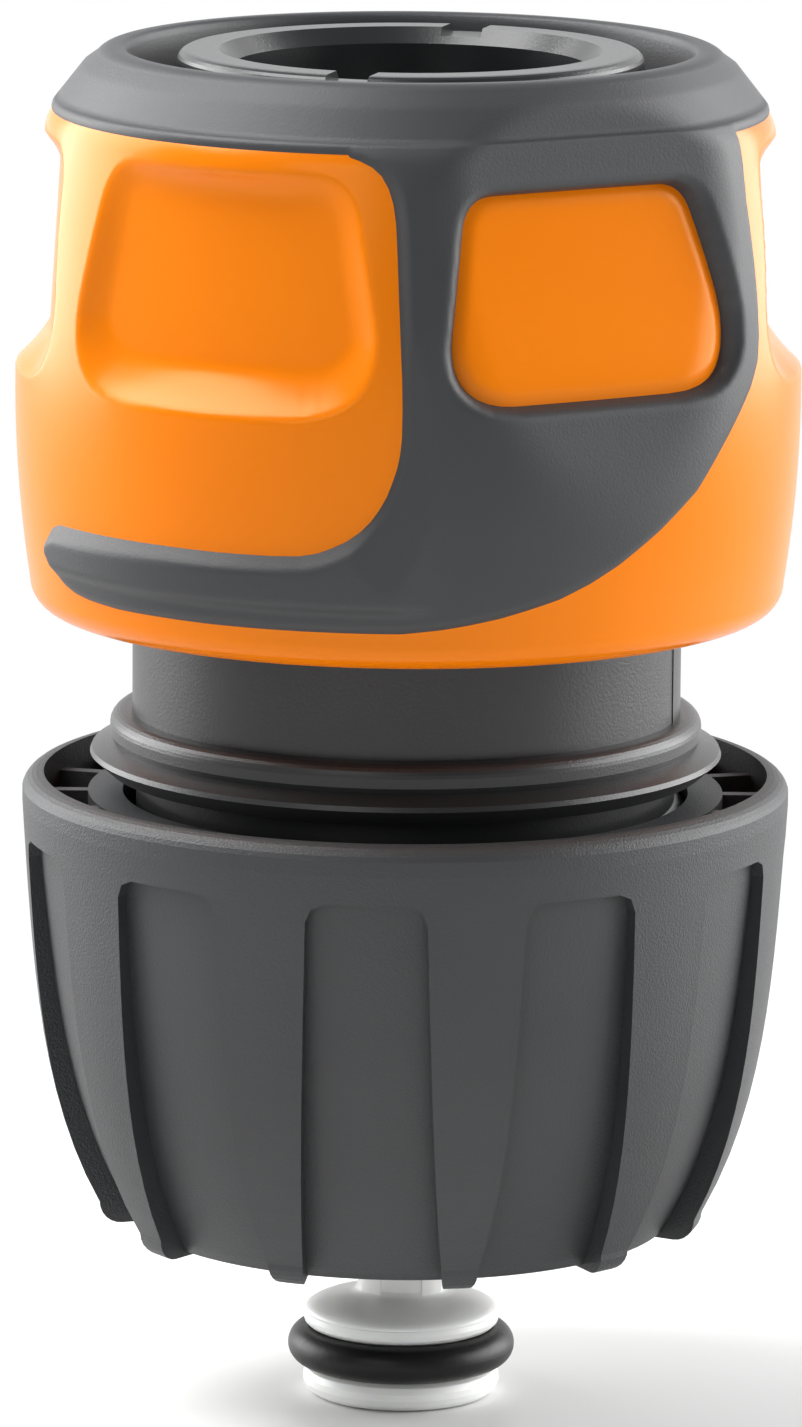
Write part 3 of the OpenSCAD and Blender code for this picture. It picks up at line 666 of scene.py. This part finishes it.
def studioFloor():
    bpy.ops.mesh.primitive_plane_add(size=studio["floorSize"], location=(0, 0, 0))
    made = bpy.context.object
    made.name = "floor"
    material, tree, shader = newMaterial("floor")
    noise = addNoise(tree, studio["floorScale"], 2.0)
    ramp = addRamp(tree, noise.outputs["Fac"], 0.3, 0.7, studio["floorDark"], studio["floorLight"])
    tree.links.new(ramp.outputs["Color"], shader.inputs["Base Color"])
    shader.inputs["Roughness"].default_value = studio["floorRough"]
    shader.inputs["Specular IOR Level"].default_value = studio["floorShine"]
    # far from the part the floor fades to the white of the backdrop
    coords = tree.nodes.new("ShaderNodeTexCoord")
    away = tree.nodes.new("ShaderNodeVectorMath")
    away.operation = "DISTANCE"
    away.inputs[1].default_value = studio["fadeCentre"]
    tree.links.new(coords.outputs["Object"], away.inputs[0])
    fade = addRange(tree, away.outputs["Value"], 0, 1)
    fade.interpolation_type = "SMOOTHSTEP"
    fade.inputs["From Min"].default_value = studio["fadeFrom"]
    fade.inputs["From Max"].default_value = studio["fadeTo"]
    white = tree.nodes.new("ShaderNodeEmission")
    white.inputs["Strength"].default_value = 1.0
    blendSurfaces(tree, fade.outputs["Result"], shader.outputs[0], white.outputs[0], "Material Output")
    made.data.materials.append(material)
    return made


def studioAir():
    # a soft grey light from all sides, with a white backdrop for the camera
    world = bpy.context.scene.world or bpy.data.worlds.new("world")
    bpy.context.scene.world = world
    world.use_nodes = True
    tree = world.node_tree
    air = tree.nodes["Background"]
    air.inputs["Color"].default_value = studio["air"]
    air.inputs["Strength"].default_value = studio["ambient"]
    seen = tree.nodes.new("ShaderNodeLightPath")
    white = tree.nodes.new("ShaderNodeBackground")
    white.inputs["Color"].default_value = (1, 1, 1, 1)
    white.inputs["Strength"].default_value = 1.0
    blendSurfaces(tree, seen.outputs["Is Camera Ray"], air.outputs[0], white.outputs[0], "World Output")


floor = studioFloor()
studioAir()

# Lights, in metres and watts; "aim" is the height on the axis that a panel looks at
lights = {
    "leftPanel": {"place": (-0.38, 0.20, 0.12), "aim": 0.045, "size": (0.36, 0.50), "power": 3.7},
    "rightPanel": {"place": (0.38, 0.16, 0.12), "aim": 0.045, "size": (0.36, 0.50), "power": 3.8},
    "topPanel": {"place": (-0.22, 0.02, 0.42), "aim": 0.05, "size": (0.30, 0.30), "power": 2.6},
    "rightFront": {"place": (0.434, -0.065, 0.17), "aim": 0.05, "size": (0.14, 0.34), "power": 0.8},
    "backPanel": {"place": (0, 0.55, 0.24), "aim": 0.05, "size": (0.95, 0.46), "power": 1.35},
    "frontFill": {"place": (-0.25, -0.55, 0.30), "aim": 0.04, "size": (0.30, 0.30), "power": 0.55},
}


def areaLight(name, panel):
    data = bpy.data.lights.new(name, "AREA")
    data.shape = "RECTANGLE"
    data.size, data.size_y = panel["size"]
    data.energy = panel["power"]
    light = bpy.data.objects.new(name, data)
    bpy.context.scene.collection.objects.link(light)
    light.location = panel["place"]
    away = Vector((0, 0, panel["aim"])) - Vector(panel["place"])
    light.rotation_euler = away.to_track_quat("-Z", "Y").to_euler()
    return light


panels = {name: areaLight(name, panel) for name, panel in lights.items()}
panels["backPanel"].visible_camera = False  # it stands in the picture

# The camera stands as the photograph's did; "pitch" and "roll" in degrees, lengths in metres
view = {
    "pitch": 11.0, "distance": 0.490, "roll": 0.43, "side": 0.00025, "height": 0.03625,
    "pxPerMetre": 19250.0, "imageHigh": 1427.0, "sensorHigh": 36.0, "clipStart": 0.01, "clipEnd": 20,
}


def studioCamera():
    pitch, roll = math.radians(view["pitch"]), math.radians(view["roll"])
    target = Vector((0, 0, view["height"]))
    # the measured picture leans the part and not the camera, so the camera leans the other way
    lean = Matrix.Rotation(-roll, 4, "Y")
    place = lean @ Vector((-view["side"], -view["distance"] * math.cos(pitch),
                           view["distance"] * math.sin(pitch)))
    data = bpy.data.cameras.new("camera")
    camera = bpy.data.objects.new("camera", data)
    bpy.context.scene.collection.objects.link(camera)
    bpy.context.scene.camera = camera
    base = Matrix.Rotation(math.radians(90) - pitch, 4, "X")
    camera.matrix_world = Matrix.Translation(target + place) @ lean @ base
    data.sensor_fit = "VERTICAL"
    data.sensor_height = view["sensorHigh"]
    data.lens = view["pxPerMetre"] * view["distance"] * view["sensorHigh"] / view["imageHigh"]
    data.clip_start = view["clipStart"]
    data.clip_end = view["clipEnd"]
    data.dof.use_dof = False


studioCamera()
bpy.context.scene.view_settings.view_transform = "Standard"
bpy.context.scene.view_settings.look = "None"
print("stage: studio set")
